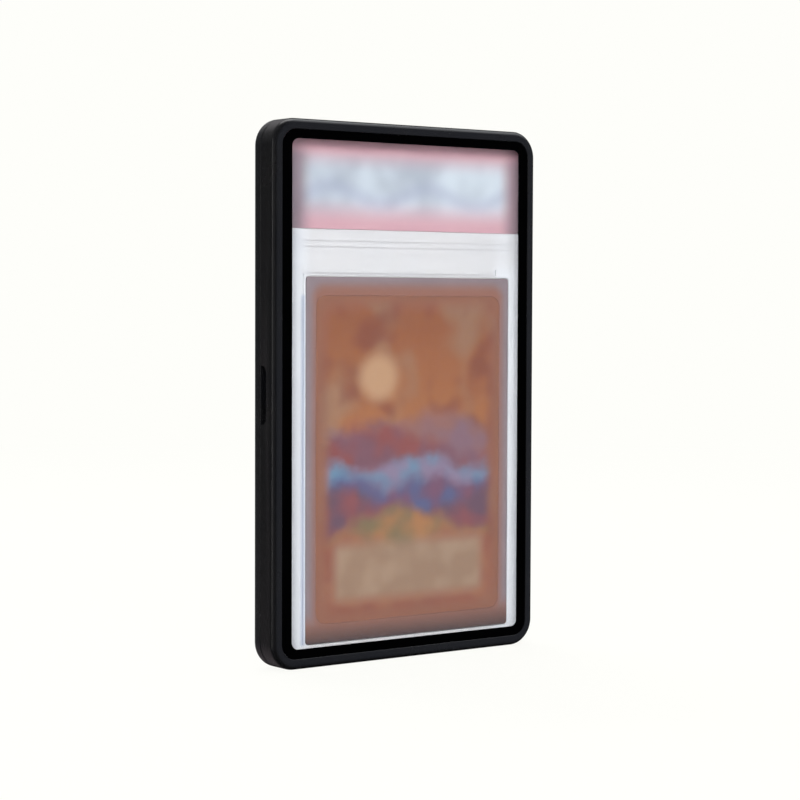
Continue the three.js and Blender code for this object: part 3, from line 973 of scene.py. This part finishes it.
# Ridges from the horizon forwards. A row gives the height and the swing as shares of the card's height, the
# waves across it, where the first wave starts, and two colours that take turns along it.
ridges = [
    (0.1, 0.04, 1.3, 0.4, screen(150, 100, 90), screen(136, 100, 112)),
    (0.045, 0.055, 0.8, 2.6, screen(142, 68, 60), screen(124, 76, 88)),
    (-0.02, 0.02, 1.7, 1.0, screen(104, 142, 172), screen(140, 124, 150)),
    (-0.075, 0.02, 2.3, 0.0, screen(84, 90, 132), screen(120, 74, 100)),
    (-0.13, 0.045, 0.9, 4.4, screen(104, 70, 88), screen(140, 70, 70)),
    (-0.2, 0.04, 1.1, 1.9, screen(174, 118, 64), screen(128, 108, 68)),
    (-0.26, 0.03, 1.7, 5.2, screen(148, 80, 52), screen(164, 102, 64)),
]
card_middle = ((card_low.x + card_high.x) / 2, 0, (card_low.z + card_high.z) / 2)
card_size = card_high - card_low

card_print, card_tree, card_surface = start_material("card_print")
from_middle = vector_step("SUBTRACT", own_place(card_tree), card_middle)[0]
across, _, upwards = along_axes(from_middle)
brush = noise(card_tree, paint_size, detail=4, roughness=0.55)
stroke = noise(card_tree, stroke_size, detail=1)
wander = work_out("MULTIPLY", work_out("SUBTRACT", brush, middle_share), wander_share * card_size.z)
turn_taking = ease(stroke, *turn_shares, 0, 1)
sky_ends = [share * card_size.z for share in sky_shares]
sky_share = spread(work_out("ADD", upwards, wander), *sky_ends, 0, 1)
in_haze = ease(noise(card_tree, haze_size, detail=1), *haze_patch_shares, 0, haze_share)
in_embers = ease(noise(card_tree, ember_size, detail=1), *ember_patch_shares, 0, ember_share)


def clouded(tone):
    """A tone with soft patches of haze and of embers."""
    return blend_colours(in_embers, blend_colours(in_haze, tone, haze_tone), ember_tone)


def sine_wave(place, length, start=0):
    """The sine of a coordinate, with one wave to a length, moved on by the angle at its start."""
    return work_out("SINE", work_out("MULTIPLY_ADD", place, 2 * math.pi / length, start))


picture = clouded(blend_colours(sky_share, sky_low, sky_top))
sun_place = (sun_place_share[0] * card_size.x, 0, sun_place_share[1] * card_size.z)
to_sun = vector_step("DISTANCE", from_middle, sun_place)["Value"]
sun_distance = work_out("MULTIPLY_ADD", wander, sun_wander_share, to_sun)
sun = ease(sun_distance, sun_radius - border_softness, sun_radius + border_softness, 1, 0)
picture = blend_colours(sun, picture, sun_colour)
for rise_share, swing_share, waves, start, *tones in ridges:
    wave = sine_wave(across, card_size.x / waves, start)
    crest = work_out("MULTIPLY_ADD", wave, swing_share * card_size.z, rise_share * card_size.z)
    depth_below = work_out("SUBTRACT", work_out("ADD", crest, wander), upwards)
    below = ease(depth_below, -print_softness, print_softness, 0, 1)
    picture = blend_colours(below, picture, blend_colours(turn_taking, *tones))
frame_area, edge_area = (
    inset(card_area, width, panel_corner + border_softness) for width in (border_width, edge_brown_width)
)
picture = blend_colours(outline_mask(card_tree, frame_area, border_softness), clouded(russet), picture)
picture = blend_colours(outline_mask(card_tree, edge_area, border_softness), edge_brown, picture)
panel_bottom = card_low.z + panel_lift
panel_top = panel_bottom + panel_height
panel_area = area_of(
    card_low.x + panel_inset, card_high.x - panel_inset, panel_bottom, panel_top, panel_corner
)
panel_tone = blend_colours(turn_taking, cream, cream_second)
picture = blend_colours(outline_mask(card_tree, panel_area, print_softness), picture, panel_tone)
stipple = spread(noise(card_tree, stipple_size), *noise_shares, *stipple_shares)
toned = add_node(card_tree, "VectorMath", {"Vector": picture, "Scale": stipple}, operation="SCALE")
put(card_surface.inputs["Base Color"], toned.outputs[0])
put(card_surface.inputs["Roughness"], spread(brush, *noise_shares, *card_roughness))

back_blue = screen(78, 88, 116)
back_pale = screen(150, 156, 172)
lattice_width = 3.2 * mm
lattice_line_share = 0.09
lattice_strength = 0.5
card_back, back_tree, back_surface = start_material("card_back", Roughness=0.4)
back_across, _, back_up = along_axes(own_place(back_tree))
lattice_lines = []
for lean in (1, -1):
    slant = work_out("MULTIPLY_ADD", back_up, lean, back_across)
    cell = work_out("FRACT", work_out("DIVIDE", slant, lattice_width))
    off_line = work_out("ABSOLUTE", work_out("SUBTRACT", cell, middle_share))
    lattice_lines.append(ease(off_line, lattice_line_share / 2, lattice_line_share, 1, 0))
lattice = work_out("MULTIPLY", work_out("MAXIMUM", *lattice_lines), lattice_strength)
back_field = blend_colours(lattice, back_blue, back_pale)
back_inside = outline_mask(back_tree, frame_area, lattice_softness)
put(back_surface.inputs["Base Color"], blend_colours(back_inside, back_pale, back_field))

core_colour = screen(206, 200, 192)
core_second_colour = screen(180, 172, 166)
fibre_size = 0.12 * mm
core_finish = dict(roughness=0.8, variation=0.1, grain=fibre_size, cloud=2 * fibre_size, depth=0.006 * mm)
card_core = moulded_material("card_core", core_colour, core_second_colour, core_finish)
card_mesh = rounded_plate("card", card_area, card_low.y, card_high.y, card_edge, corner_steps)


def paint_sides(mesh, front_index, back_index, edge_index):
    """Gives the front, the back and the edges of a plate their own materials, by the way a face looks."""
    facing = np.zeros(len(mesh.polygons) * 3)
    mesh.polygons.foreach_get("normal", facing)
    towards_back = facing.reshape(-1, 3)[:, 1]
    flat_share = 0.3
    index = np.where(towards_back < -flat_share, front_index, edge_index)
    index = np.where(towards_back > flat_share, back_index, index)
    mesh.polygons.foreach_set("material_index", index.astype(np.int32))


card_faces = [card_print, card_back, card_core]
card_piece = add_piece("printed_card", card_mesh, card_faces, "slab", "card_stock", "card")
paint_sides(card_piece.data, 0, 1, 2)


# Label. A paper label in the insert's upper seat, with rose bands at its top and foot that fade into a bare
# pale field, and a soft violet wave along the field.
label_corner = 0.8 * mm
label_edge = 0.05 * mm
label_border_side = 3.4 * mm
label_border_top = 5.4 * mm
label_border_foot = 5.2 * mm
label_field_corner = 4.4 * mm
label_softness = 4.2 * mm
ribbon_lift = 9.4 * mm
ribbon_swing = 2.2 * mm
ribbon_length = 33 * mm
ribbon_reach = 4.2 * mm
ribbon_share = 0.35
left_tone_start = 4.6 * mm
left_tone_end = 11 * mm
right_tone_start = 0.6 * mm
right_tone_end = 8 * mm
side_share = 0.92
cloud_width = 21 * mm
cloud_drift = 3.2
wave_spacing = 0.9 * mm
wave_length = 9 * mm
wave_height = 0.5 * mm
rose = screen(226, 178, 188)
rose_second = screen(210, 160, 172)
# Painted light: the paler rose painted over the label's top band.
rose_top_light = screen(252, 187, 199)
top_tone_reach = 6.5 * mm
top_tone_share = 0.85
field_dull = screen(184, 192, 204)
field_clear = screen(220, 229, 239)
violet = screen(150, 154, 188)
side_mauve = screen(154, 132, 141)
stripe_start_share = 0.6
stripe_share = 0.12
paper_roughness = (0.5, 0.6)
paper_depth = 0.003 * mm

label_paper, label_tree, label_surface = start_material("label_paper")
label_area = box_area("label", label_corner)
label_across, _, label_up = along_axes(own_place(label_tree))
drifted = work_out("MULTIPLY_ADD", label_across, cloud_drift, noise(label_tree, cloud_width))
field = blend_colours(ease(drifted, *turn_shares, 0, 1), field_dull, field_clear)
rippled_up = work_out("MULTIPLY_ADD", sine_wave(label_across, wave_length), wave_height, label_up)
stripes = spread(sine_wave(rippled_up, wave_spacing), stripe_start_share, 1, 0, stripe_share)
field = blend_colours(stripes, field, violet)
field_area = area_of(
    label_low.x + label_border_side,
    label_high.x - label_border_side,
    label_low.z + label_border_foot,
    label_high.z - label_border_top,
    label_field_corner,
)
field_mask = outline_mask(label_tree, field_area, label_softness)
border_tone = blend_colours(noise(label_tree, paint_size), rose, rose_second)
label_tone = blend_colours(field_mask, border_tone, field)
sway = sine_wave(label_across, ribbon_length)
ribbon_height = work_out("MULTIPLY_ADD", sway, ribbon_swing, label_low.z + ribbon_lift)
off_ribbon = work_out("ABSOLUTE", work_out("SUBTRACT", label_up, ribbon_height))
ribbon = work_out("MULTIPLY", ease(off_ribbon, 0, ribbon_reach, ribbon_share, 0), field_mask)
label_tone = blend_colours(ribbon, label_tone, violet)
side_tones = [
    (label_low.x + left_tone_start, label_low.x + left_tone_end),
    (label_high.x - right_tone_start, label_high.x - right_tone_end),
]
for tone_start, tone_end in side_tones:
    at_side = ease(label_across, tone_start, tone_end, side_share, 0)
    label_tone = blend_colours(at_side, label_tone, side_mauve)
# Painted light: the top band is painted a paler rose, to lift the shade that the frame's top border casts on
# it.
painted_top_light = ease(label_up, label_high.z - top_tone_reach, label_high.z, 0, top_tone_share)
label_tone = blend_colours(painted_top_light, label_tone, rose_top_light)
put(label_surface.inputs["Base Color"], label_tone)
paper_fibres = noise(label_tree, fibre_size, detail=4)
put(label_surface.inputs["Roughness"], spread(paper_fibres, *noise_shares, *paper_roughness))
paper_bump = add_node(label_tree, "Bump", {"Height": paper_fibres, "Distance": paper_depth})
put(label_surface.inputs["Normal"], paper_bump.outputs["Normal"])
label_mesh = rounded_plate("label", label_area, label_low.y, label_high.y, label_edge, small_steps)
label_faces = [label_paper, card_core]
label_piece = add_piece("paper_label", label_mesh, label_faces, "slab", "label_paper", "label")
paint_sides(label_piece.data, 0, 1, 1)
